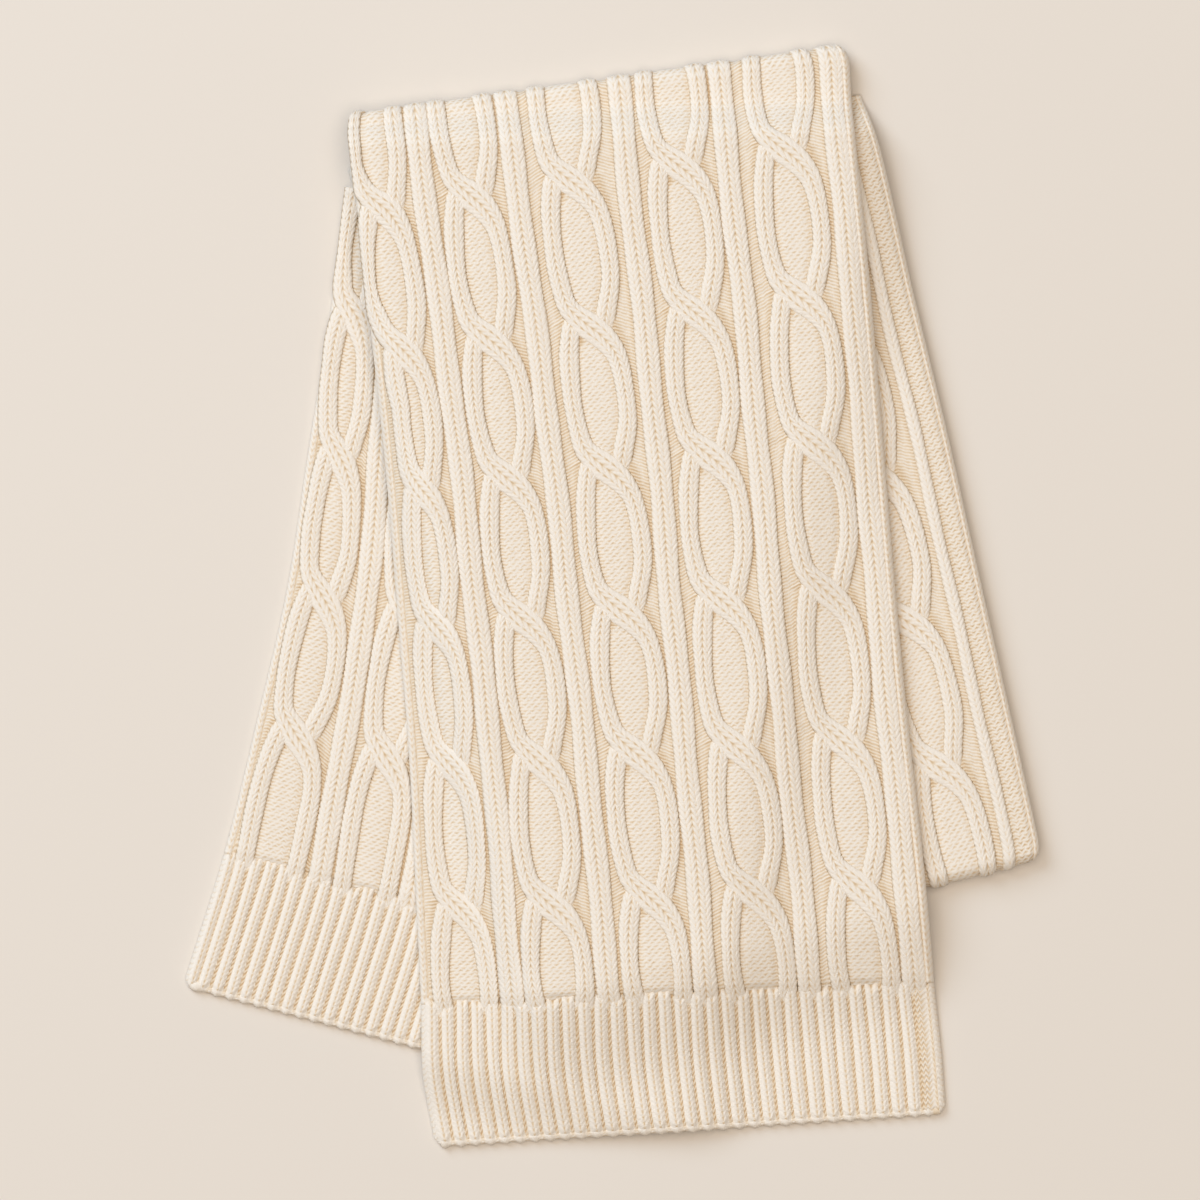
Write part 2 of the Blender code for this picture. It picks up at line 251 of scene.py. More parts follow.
# One strand of a cable over two repeats, from the crossing where it lies on top: phase in repeats towards the
# border, place beside the axis, half its width, and its height as a share of the full one.
strand = {
    "table": (
        (-1.04, -6.4, 4.2, 0.30),
        (-0.99, -8.0, 4.3, 0.70),
        (-0.95, -9.0, 4.5, 0.92),
        (-0.90, -9.8, 4.6, 1.00),
        (-0.76, -11.6, 4.7, 1.02),
        (-0.56, -12.6, 4.4, 1.00),
        (-0.38, -12.6, 4.4, 1.00),
        (-0.16, -10.6, 4.6, 1.00),
        (-0.08, -8.2, 5.1, 1.04),
        (0.04, -0.2, 6.7, 1.04),
        (0.115, 5.2, 6.3, 1.04),
        (0.20, 9.6, 5.4, 1.03),
        (0.28, 12.2, 4.7, 1.00),
        (0.44, 13.9, 4.4, 1.00),
        (0.68, 13.9, 4.4, 1.00),
        (0.80, 12.4, 4.5, 1.00),
        (0.90, 10.2, 4.6, 0.98),
        (0.98, 8.6, 4.6, 0.88),
        (1.05, 7.0, 4.3, 0.60),
        (1.12, 4.6, 4.1, 0.20),
    ),
    "first": -1.04,           # phase where a strand comes up
    "last": 1.12,             # phase where it has gone under
    "wrap": -0.97,            # phase at which its count starts again
    "over": (0.03, 0.10),     # phase where it lies over the other strand, and for how long
    "rise": 3.0,
    "wales": 2,
    "farRight": 13.9,
    "farLeft": 12.4,
    "keepOff": 5.6,           # from the middle of a strand to its neighbour
    "freeSwing": 30.0,        # room beside a cable with no neighbour
    "tightest": 0.3,          # least share of its swing in a narrow place
    "calmPace": 0.35,         # pace of the crossings where the strands run straighter
    "shortest": 8.0,          # a shorter end of a strand is left out
    "curl": (0.6, 2.6, 0.4),  # at the cloth's edge: width kept past the middle, least half width, overhang
    "steepest": 1.1,
    "slopeStep": 0.5,
}
straightLines = {             # wales, half the width, rise over the wall
    "rib": {"wales": 2, "half": 5.6, "rise": 2.9},
    "narrow rib": {"wales": 1, "half": 2.9, "rise": 2.6},
}


def axisOf(piece, number, along):
    _, top, bottom = piece["lines"][number]
    start, end = piece["lineEnds"]
    return mix(bottom, top, (along - start) / (end - start)) * widthAt(piece, along)


def reachOf(piece, number, along):  # how far a cable's strands may swing to the left and to the right
    axis = axisOf(piece, number, along)
    half = [straightLines.get(kind, {"half": 0.0})["half"] for kind, _, _ in piece["lines"]]
    if number:
        before = axisOf(piece, number - 1, along) + half[number - 1]
    elif "leftOfFirst" in piece:
        before = np.interp(along, *zip(*piece["leftOfFirst"]))
    else:
        before = axis - strand["freeSwing"]
    after = axisOf(piece, number + 1, along) - half[number + 1]
    return axis - before - strand["keepOff"], after - axis - strand["keepOff"]


def phaseAt(piece, side, along, turn=None):  # in repeats, 0 where the strand lies on top in its crossing
    calm = piece.get("calmBelow", 0.0)
    along = np.where(along < calm, calm - (calm - along) * strand["calmPace"], along)
    phase = (piece["crossing"] - along) / piece["repeat"] + side
    return np.mod(phase - strand["wrap"], 2.0) + strand["wrap"] if turn is None else phase - 2 * turn


def turnsOf(piece, number, side, start, end):  # where a strand comes up and goes under, and its turn there
    if piece["lines"][number][0] != "cable":
        yield start, end, None
        return
    for turn in range(-6, 6):
        low = piece["crossing"] - piece["repeat"] * (strand["last"] + 2 * turn - side)
        high = piece["crossing"] - piece["repeat"] * (strand["first"] + 2 * turn - side)
        longEnough = min(high, end) - max(low, start) > strand["shortest"]
        if longEnough and high > piece.get("calmBelow", 0.0):
            yield max(low, start), min(high, end), turn


# Place across, half width and height share of one of the two strands of a cable, or of a straight line.
def strandAt(piece, number, side, along, turn=None):
    kind = piece["lines"][number][0]
    axis = axisOf(piece, number, along)
    if kind != "cable":
        return axis, np.full(np.shape(axis), straightLines[kind]["half"]), np.ones(np.shape(axis))
    phase = phaseAt(piece, side, along, turn)
    knots = [row[0] for row in strand["table"]]
    place, half, share = (curveThrough(knots, [row[i] for row in strand["table"]], phase) for i in (1, 2, 3))
    toLeft, toRight = reachOf(piece, number, along)
    squeeze = np.where(place > 0, toRight / strand["farRight"], toLeft / strand["farLeft"])
    centre = axis + place * np.clip(squeeze, strand["tightest"], 1.0)
    kept, least, overhang = strand["curl"]
    half = np.minimum(half, np.maximum(centre + kept, least))    # a strand that curls round the edge shows less
    return np.maximum(centre, half - overhang), half, share


def slopeOf(centre, later):  # sideways run of a strand for each millimetre along the stretch
    return np.clip((later - centre) / strand["slopeStep"], -strand["steepest"], strand["steepest"])


def linesOf(piece):
    for number, (kind, _, _) in enumerate(piece["lines"]):
        for side in (0, 1) if kind == "cable" else (0,):
            yield number, side, strand if kind == "cable" else straightLines[kind]


# Adds one closed body: a ring of points for each row, capped at both ends.
def addTube(made, rings, paintedShade):
    rowCount, ringCount = paintedShade.shape
    grid = bmesh.ops.create_grid(made, x_segments=ringCount, y_segments=rowCount - 1, size=0.5)["verts"]
    step = ringCount + 1
    seam = {grid[row * step + ringCount]: grid[row * step] for row in range(rowCount)}
    kept = [vert for i, vert in enumerate(grid) if i % step != ringCount]
    bmesh.ops.weld_verts(made, targetmap=seam)
    # each point also carries its painted shade, which darkens the wool's colour in hollows
    depth = made.verts.layers.float["paintedShade"]
    for vert, point, value in zip(kept, (rings.reshape(-1, 3) * mm).tolist(), paintedShade.ravel().tolist()):
        vert.co = point
        vert[depth] = value
    firstEnd = kept[:ringCount], kept[ringCount * 2:ringCount * 3]
    lastEnd = kept[-ringCount:], kept[-ringCount * 3:-ringCount * 2]
    for row, further in (firstEnd, lastEnd):
        loop = [made.edges.get((row[i], row[(i + 1) % ringCount])) for i in range(ringCount)]
        cap = bmesh.ops.edgeloop_fill(made, edges=loop)["faces"]
        bmesh.ops.recalc_face_normals(made, faces=cap)
        inside = sum((vert.co for vert in further), Vector()) / ringCount
        for face in cap:
            if (face.calc_center_median() - inside).dot(face.normal) < 0:
                face.normal_flip()
        bmesh.ops.triangulate(made, faces=cap)


def newBody():
    made = bmesh.new()
    # painted shade of each point, 0 on a crest and 1 in the deepest hollow
    made.verts.layers.float.new("paintedShade")
    return made


def finishPiece(made, name, material, *nodes):
    mesh = bpy.data.meshes.new(name)
    made.to_mesh(mesh)
    made.free()
    for polygon in mesh.polygons:
        polygon.use_smooth = True
    piece = bpy.data.objects.new(name, mesh)
    bpy.context.scene.collection.objects.link(piece)
    piece.data.materials.append(material)
    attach(piece, "root")
    if nodes:
        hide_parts(*nodes)
    return piece


# Columns of V stitches. A stitch is drawn in four quarters, from the groove between two stitches on.
stitch = {
    "lean": 3.9,              # how far the outer end of a leg lies above its inner end
    "leanMiddle": 0.4,        # share of the way out from a column's middle that keeps its place
    "legGroove": 0.12,        # depth between one leg and the next
    "waleGroove": 0.55,       # depth between two columns of stitches
    "centreGroove": 0.22,     # depth along the middle of a column
    "thin": 0.23,             # how far into a leg the groove beside it reaches
    "quarterShifts": (0.0, -0.25, 0.0, 0.25),
    "quarterHeights": (-1.0, 0.15, 0.45, 0.2),
    "quarterDots": (1.0, 0.9, 0.3, 0.65),
    "quarterBulges": (-0.28, 0.0, 0.25, 0.1),
    "uneven": 0.06,           # how much the stitches differ in height
    "swell": (0.035, 7.0),    # share by which a strand's width varies, and over what length
    "wander": (0.3, 15.0),    # how far a strand strays to the sides, and over what length
    "ends": 5.0,              # the legs stand straighter over this length at both ends
    "crown": (0.36, 3.2),     # how far the sides fall below the middle, and how late
    "border": (10.5, 16.0),   # how far below the border's edge the relief is gone, and over what length
    "foot": (0.55, 0.6, 1.6), # how far out a strand's foot stands, how deep, and how much higher with its share
}
# How deep in shade the parts of a stitch lie, 0 on the crests and 1 in the deepest hollows.
stitchHollows = {
    "leg": 0.20,
    "betweenColumns": 0.9,
    "besideThem": 0.32,
    "middle": 0.08,
    "middleDots": 0.26,
    "outer": 0.26,
    "goingUnder": 0.25,
    "foot": 0.72,
}


# Adds a strand or rib, its columns of V stitches swept along its path.
def addLine(made, piece, number, side, line, start, end, turn, randoms):
    wales, course = line["wales"], cloth["course"]
    legs = [i + share for i in range(2 * wales) for share in (0.0, stitch["thin"], 1 - stitch["thin"])]
    spots = np.array(legs + [2 * wales]) / wales - 1.0
    out = np.abs(spots)
    fromCentre = np.abs(np.mod((spots + 1) * wales, 2) - 1)      # 0 in the middle of a column, 1 between two
    quarters = int(round((end - start) / course * 4))
    quarter = (np.arange(quarters + 1) + int(randoms.integers(4)))[:, None] % 4
    down = start + (np.arange(quarters + 1)[:, None] + np.array(stitch["quarterShifts"])[quarter]) * course / 4
    firm = ease((down - start) / stitch["ends"]) * ease((end - down) / stitch["ends"])
    path = down + stitch["lean"] * (fromCentre[None, :] - stitch["leanMiddle"]) * firm
    first, second = randoms.uniform(0, 6.28, 2)
    centre, half, share = strandAt(piece, number, side, path, turn)
    half = half * (1 + stitch["swell"][0] * np.sin(down / stitch["swell"][1] + second))
    wander = stitch["wander"][0] * np.sin(down / stitch["wander"][1] + first) * firm
    centre = centre + wander
    slope = slopeOf(centre, strandAt(piece, number, side, path + strand["slopeStep"], turn)[0] + wander)
    norm = np.hypot(1.0, slope)
    along = path - slope / norm * spots * half
    bulge = np.array(stitch["quarterBulges"])[quarter] * (out > 0.99)
    across = centre + spots * (half + bulge) / norm
    wobble = randoms.normal(0, stitch["uneven"], quarter.shape)
    envelope = 1 - stitch["crown"][0] * out[None, :] ** stitch["crown"][1]
    between = np.where((fromCentre > 0.9) & (out < 0.99), 1.0, 0.0)[None, :]
    beside = np.where((fromCentre > 0.7) & (fromCentre < 0.9) & (out < 0.6), 1.0, 0.0)[None, :]
    middle = np.where(fromCentre < 0.1, 1.0, 0.0)[None, :]
    outer = np.where(out > 0.99, 1.0, 0.0)[None, :]
    inLeg = np.array(stitch["quarterHeights"])[quarter]
    dots = np.array(stitch["quarterDots"])[quarter]
    relief = (
        stitch["legGroove"] * inLeg * (1 - 0.5 * middle - 0.7 * outer)
        - stitch["waleGroove"] * between * mix(0.75, 1.0, dots)
        - stitch["centreGroove"] * middle + wobble
    )
    over = np.zeros(path.shape)      # stitches that are pulled flat where one strand crosses the other
    if line is strand:
        over = np.exp(-((phaseAt(piece, side, path, turn) - strand["over"][0]) / strand["over"][1]) ** 2)
    relief = relief * (1 - 0.5 * over)
    below, length = stitch["border"]
    fade = ease((path - (piece["lineEnds"][0] - below)) / length) if piece["fold"] != 0.0 else np.ones(path.shape)
    height = cloth["wall"] + (line["rise"] * share * envelope + relief * np.clip(share, 0.3, 1)) * fade
    # Painted shade: dots between and beside the columns and down their middle, the outer legs, a strand going under,
    # and darker middle dots where one strand crosses the other
    shade = stitchHollows
    paintedShade = (
        shade["leg"] * (quarter == 0) * (1 - between) * (1 - 0.3 * outer) * (1 - 0.6 * over)
        + between * dots * shade["betweenColumns"] + beside * shade["besideThem"] * (dots > 0.8)
        + middle * (shade["middle"] + shade["middleDots"] * dots * (dots > 0.5) * (1 + 2 * over))
        + outer * shade["outer"]
    ) + shade["goingUnder"] * np.clip(1 - share, 0, 1)
    both = [0, -1]                   # the foot of a strand, along both of its sides
    footOut, footDeep, footRise = stitch["foot"]
    beyond = footOut / half[:, both]
    foot = np.concatenate([spots[:1] - beyond[:, :1], spots[-1:] + beyond[:, 1:]], axis=1)
    footAlong = path[:, both] - (slope / norm)[:, both] * foot * half[:, both]
    footAcross = centre[:, both] + foot * half[:, both] / norm[:, both]
    footHeight = cloth["wall"] - footDeep + footRise * fade[:, both] * share[:, both].clip(0, 1)
    along = np.concatenate([footAlong[:, :1], along, footAlong[:, 1:]], axis=1)
    across = np.concatenate([footAcross[:, :1], across, footAcross[:, 1:]], axis=1)
    height = np.concatenate([footHeight[:, :1], height, footHeight[:, 1:]], axis=1)
    # the foot is painted in deep shade
    dark = np.full(foot.shape, shade["foot"])
    paintedShade = np.concatenate([dark[:, :1], paintedShade, dark[:, 1:]], axis=1)
    addTube(made, layOn(piece, along, across, height), np.clip(paintedShade, 0, 1))


# The column of stitches that curls round an edge, from the cloth outward. Its painted shade has a row for each
# quarter.
roll = {
    "leans": (0.9, 1.6, 0.0, 1.5, 2.9, 3.3, 3.3, 3.3),
    "hollows": (
        (0.70, 0.26, 0.66, 0.24, 0.30, 0.3, 0.3, 0.4),
        (0.45, 0.02, 0.45, 0.02, 0.04, 0.1, 0.2, 0.4),
        (0.40, 0.02, 0.12, 0.01, 0.02, 0.1, 0.2, 0.4),
        (0.45, 0.04, 0.25, 0.02, 0.06, 0.1, 0.2, 0.4),
    ),
    "radius": 1.95,
    "inset": 1.1,             # how far the roll draws in at its widest
    "spread": 1.9,            # how flat its upper half is
    "turns": (0.08, 0.92),    # half turns: where the roll starts, and how much of it there is
    "steps": 6,
    "meets": (3.7, 3.1),      # offset and height where it meets the cloth
}


def edgeArc(whole, side):  # offset and height round a rolled edge, from the underside up
    points = []
    for step in range(roll["steps"] + 1):
        turn = math.pi * (roll["turns"][0] + roll["turns"][1] * step / roll["steps"])
        offset = roll["inset"] - roll["inset"] * math.sin(min(turn, math.pi / 2))
        offset += max(0.0, turn - math.pi / 2) * roll["spread"]
        points.append((offset, roll["radius"] - roll["radius"] * math.cos(turn)))
    points.append(roll["meets"])
    return points if side < 0 else [(whole - offset, height) for offset, height in points[::-1]]


# Purl ground between the strands and ribs.
ground = {
    "ditch": 1.4,             # how far from a strand the ground lies in its shade
    "ditchInLoop": 0.5,       # share of that inside a cable's loops
    "holes": ((0.99, 12.4), (-0.86, -4.8)),   # phase and place beside the axis: the squeezed one, the fixed one
    "holeSize": (1.5, 2.2),
    "holeDepth": 1.3,
    "climb": 0.45,            # how far the threads climb for each millimetre away from a rib
    "farthest": 9.0,
    "bandStart": 4.0,         # the band of bumps to the right of the last line
    "zigzag": (0.2, 0.5),     # how far threads step up and down from column to column, plain and in a loop
    "uneven": (0.12, 0.06),   # how much columns, then stitches, are out of line
    "bump": (-0.36, 0.14),    # depth of a pit, height of a bump
    "loopRise": 0.8,          # how much the ground swells inside a loop
    "ditchRise": 0.4,         # how much it climbs at a strand
    "rowHollow": (0.02, 0.55),        # shade on the threads and between them
    "pitHollow": (0.66, 0.5),         # shade in a pit of a loop, and what a pit of the band adds
    "ditchHollow": (0.22, 0.34),      # shade beside a strand, and what the rows add
    # painted shade on cloth out of sight, then on an underside
    "hiddenHollow": 0.3,
    "underHollow": 0.5,
    "ends": 6.0,              # the threads lie straight over this length at both ends
    "startHeight": 3.1,
}


# Depth beside the strands and ribs, share inside a loop, how far threads climb away from a rib, and how much
# they zigzag.
def groundHollow(piece, along, across):
    ditch, loop, inside = (np.zeros(along.shape) for _ in range(3))
    far = np.full(along.shape, ground["farthest"])
    for number, side, _ in linesOf(piece):
        centre, half, share = strandAt(piece, number, side, along)
        slope = slopeOf(centre, strandAt(piece, number, side, along + strand["slopeStep"])[0])
        gap = np.abs(across - centre) / np.hypot(1.0, slope) - half
        depth = np.exp(-(np.maximum(gap, 0) / ground["ditch"]) ** 2) * np.clip(share * 1.2, 0, 1)
        if piece["lines"][number][0] == "cable":
            axis = axisOf(piece, number, along)
            within = (axis - centre) * (across - centre) > 0
            depth = depth * np.where(within, ground["ditchInLoop"], 1.0)
            phase = phaseAt(piece, side, along)
            squeeze = np.clip(reachOf(piece, number, along)[1] / strand["farRight"], strand["tightest"], 1.0)
            wide, long = ground["holeSize"]
            for (at, place), narrower in zip(ground["holes"], (squeeze, 1.0)):
                beside = (across - axis - place * narrower) / wide
                hole = beside ** 2 + ((phase - at) * piece["repeat"] / long) ** 2
                ditch = ditch + ground["holeDepth"] * np.exp(-hole)
            if side == 0:
                other = strandAt(piece, number, 1, along)[0]
                low, high = np.minimum(centre, other), np.maximum(centre, other)
                loop = np.maximum(loop, ease((across - low - 4) / 4) * ease((high - across - 4) / 4))
                inside = np.maximum(inside, ease((across - low) / 2) * ease((high - across) / 2))
        else:
            far = np.minimum(far, np.maximum(gap, 0.0))
        ditch = ditch + depth
    band = ease((across - axisOf(piece, len(piece["lines"]) - 1, along) - ground["bandStart"]) / 1.5)
    return ditch, loop, ground["climb"] * far * (1 - inside) * (1 - band), np.maximum(loop, 0.8 * band)


# Adds the plain cloth of a stretch, with purl bumps where it shows, rolled edges and a flat underside.
def addGround(made, piece, start, end, shownFrom, shownTo, randoms):
    step = cloth["course"] / 4
    row = np.arange(int((end - start) / step) + 1)
    down = start + row * step
    down[-1] = end
    whole = widthAt(piece, np.clip(down, piece["rows"][0][0], piece["rows"][-1][0]))
    middle = float(whole.mean())
    widen, raised = piece["rightRoll"]
    fineCount = int(round((shownTo - shownFrom) * middle / cloth["purlWale"] * 2))
    fineFrom = max(shownFrom, (roll["meets"][0] + 0.7) / middle)
    fineTo = min(shownTo, 1 - (roll["meets"][0] * widen + 0.7) / middle)
    fine = np.linspace(fineFrom, fineTo, fineCount + 1)
    before = np.linspace(0.02, shownFrom, 8)[:-1] if shownFrom > 0.05 else np.zeros(0)
    after = np.linspace(shownTo, 0.98, 8)[1:] if shownTo < 0.95 else np.zeros(0)
    shares = np.concatenate([before, fine, after])
    zig = (np.arange(fineCount + 1) % 2) * 1.0
    zig = np.concatenate([np.full(len(before), 0.5), zig, np.full(len(after), 0.5)])[None, :]
    shown = np.concatenate([np.zeros(len(before)), np.ones(len(fine)), np.zeros(len(after))])
    steady = ease((down - start) / ground["ends"]) * ease((end - down) / ground["ends"])
    quarter = (row % 4)[:, None]
    groovy = quarter % 2 == 0        # the rows of points that lie between two threads
    across = shares[None, :] * whole[:, None]
    along = np.repeat(down[:, None], len(shares), 1)
    ditch, loop, rungs, wave = (values * shown for values in groundHollow(piece, along, across))
    pit = groovy * np.where(quarter == 0, zig, 1 - zig)
    columnShift = randoms.normal(0, ground["uneven"][0], (1, len(shares)))
    stitchShift = randoms.normal(0, ground["uneven"][1], along.shape)
    zigzag = (zig - 0.5) * mix(*ground["zigzag"], wave)
    along = along + (rungs + zigzag + columnShift + stitchShift) * steady[:, None] * shown[None, :]
    bump = (mix(groovy * 1.0, pit, wave) * ground["bump"][0] + ground["bump"][1]) * shown
    height = cloth["wall"] + cloth["ground"] + bump + ground["loopRise"] * loop
    height = height + ground["ditchRise"] * np.minimum(ditch, 1)
    height = height + randoms.normal(0, ground["uneven"][1], along.shape) * shown
    height = np.where(shown > 0, height, cloth["hidden"])
    # Painted shade: on and between the threads, in the pits of loops and the band, beside the strands and deepest in
    # their ditches; cloth out of sight gets an even painted shade
    onThread, betweenThreads = ground["rowHollow"]
    inPit, inBand = ground["pitHollow"]
    rows, pits = onThread + betweenThreads * groovy, onThread + (inPit + inBand * (wave - loop).clip(0, 1)) * pit
    groove = mix(rows, pits, wave) * randoms.uniform(0.7, 1.2, along.shape)
    beside, besideRows = ground["ditchHollow"]
    paintedShade = groove * (1 - 0.4 * np.minimum(ditch, 1)) + (beside + besideRows * groovy) * ditch
    paintedShade = paintedShade + 0.5 * (ditch - 0.9).clip(0, 1)
    paintedShade = np.clip(paintedShade, 0, 1) * shown + ground["hiddenHollow"] * (1 - shown)
    if piece["fold"] != 0.0:
        height = mix(ground["startHeight"], height, ease((along - start) / 4))
    leftEdge, rightEdge = edgeArc(0.0, -1), edgeArc(0.0, 1)
    count, underCount = len(down), 9
    rightSide = whole[:, None] + np.array([p[0] for p in rightEdge]) * widen
    under = np.linspace(0.96, 0.04, underCount)[None, :] * whole[:, None]
    leans = down[:, None] + np.array(roll["leans"])[None, :] * steady[:, None]
    # the rolled edges take their painted shade from the roll
    side = np.array(roll["hollows"])[quarter[:, 0]]
    ringAlong = np.concatenate([leans[:, ::-1], along, leans, np.repeat(down[:, None], underCount, 1)], axis=1)
    ringAcross = np.concatenate(
        [np.repeat([[p[0] for p in leftEdge]], count, 0), across, rightSide, under], axis=1)
    ringHeight = np.concatenate(
        [np.repeat([[p[1] for p in leftEdge]], count, 0), height,
         np.repeat([[p[1] * raised for p in rightEdge]], count, 0), np.zeros((count, underCount))], axis=1)
    ringHollow = np.concatenate(
        [side[:, ::-1], paintedShade, side, np.full((count, underCount), ground["underHollow"])], axis=1)
    addTube(made, layOn(piece, ringAlong, ringAcross, ringHeight), ringHollow)


# A ribbed border. Seams are ditches between two ribs: their number, and their share of the width.
hem = {
    "frontSeams": ((1, 0.037), (8, 0.241), (16, 0.489), (24, 0.733), (31, 0.955), (32, 0.976)),
    "leftSeams": ((1, 0.054), (9, 0.283), (20, 0.602)),
    "ditch": 1.05,            # half the width of a ditch
    "ditchThreads": 0.6,      # where its two columns of threads lie
    "ditchRise": 0.7,
    "rise": 2.1,
    "crown": (0.6, 2.6),      # how far a rib's flanks fall below its middle, and how late
    "spots": (-1, -0.67, -0.3, 0, 0.3, 0.67, 1),   # points across a rib
    "stripSpots": (-0.7, 0, 0.7),                  # points across the narrow band beside the right edge
    "stripRise": 1.3,
    "course": 2.85,
    "lean": 3.0,
    "corner": 5.5,
    "overlap": 6.0,           # how far the ribs run up into the body
    "fade": 7.0,
    "early": 4.0,             # how much sooner than the last one a rib may end
    "edgeRib": 7.2,           # where the first full rib starts beside the rolled column of the left border
    # the stitched column at an edge: distance from it, height, lean, part of a stitch
    "leftColumn": ((2.4, 1.1, 0.8, "leg"), (3.3, 1.7, 0.4, "leg"), (4.1, 1.5, 0.0, "centre"),
                   (4.9, 1.6, 0.4, "leg"), (5.7, 0.8, 0.8, "flank"), (6.5, 0.3, 0.5, "ditch")),
    "rightColumn": ((5.0, 0.9, 0.9, "flank"), (3.9, 1.5, 0.0, "centre"), (2.8, 1.3, 0.9, "leg")),
    "partsOfRib": {0: "centre", 1: "flank"},       # by distance from the middle, and leg in between
    "sway": (0.25, 17.0),     # how far the ribs stray to the sides, and over what length
    "uneven": (0.1, 0.05),    # how much stitches are out of line, then how much they differ in height
    "threads": 0.22,          # relief of the slanting threads in a ditch
    "thinEdge": (1.8, 0.55),  # height towards which the last row thins, and its share of the rest
    "topHeight": 2.6,
}


def seamsOf(name, last):
    numbers, shares = zip(*hem[name])
    return np.concatenate([[0.0], curveThrough(numbers, shares, np.arange(1, last + 1))])


# Points across a border: the ditch they belong to, offset from it, lean, rise, and part of a stitch.
def hemColumns(seams, mean):
    columns = []
    toEdge = seams[-1] > 0.9         # the border shows from edge to edge
    for i in range(len(seams) - 1):
        pitch = (seams[i + 1] - seams[i]) * mean
        if i:
            for side in (-hem["ditchThreads"], hem["ditchThreads"]):
                columns.append((seams[i], side, 0.5 + 0.5 * side, hem["ditchRise"], "ditch"))
        first, last = (2.4 if i == 0 else hem["ditch"]), pitch - hem["ditch"]
        if i == 0 and not toEdge:
            first = hem["edgeRib"]
            columns += [(0.0, inward, out, up, part) for inward, up, out, part in hem["leftColumn"]]
        if toEdge and i == len(seams) - 2:
            for spot in hem["stripSpots"]:
                slant = 0.5 + 0.35 * (-1) ** len(columns)
                columns.append((seams[i], mix(first, last, (spot + 1) / 2), slant, hem["stripRise"], "strip"))
        else:
            for spot in hem["spots"]:
                up = hem["rise"] * (1 - hem["crown"][0] * abs(spot) ** hem["crown"][1])
                part = hem["partsOfRib"].get(abs(spot), "leg")
                columns.append((seams[i], mix(first, last, (spot + 1) / 2), abs(spot), up, part))
    if toEdge:
        columns += [(1.0, -inward, out, up, part) for inward, up, out, part in hem["rightColumn"]]
    else:
        columns += [(mix(seams[-1], 0.98, i / 6), 0.0, 0.5, 1.0, "plain") for i in range(1, 7)]
    return columns


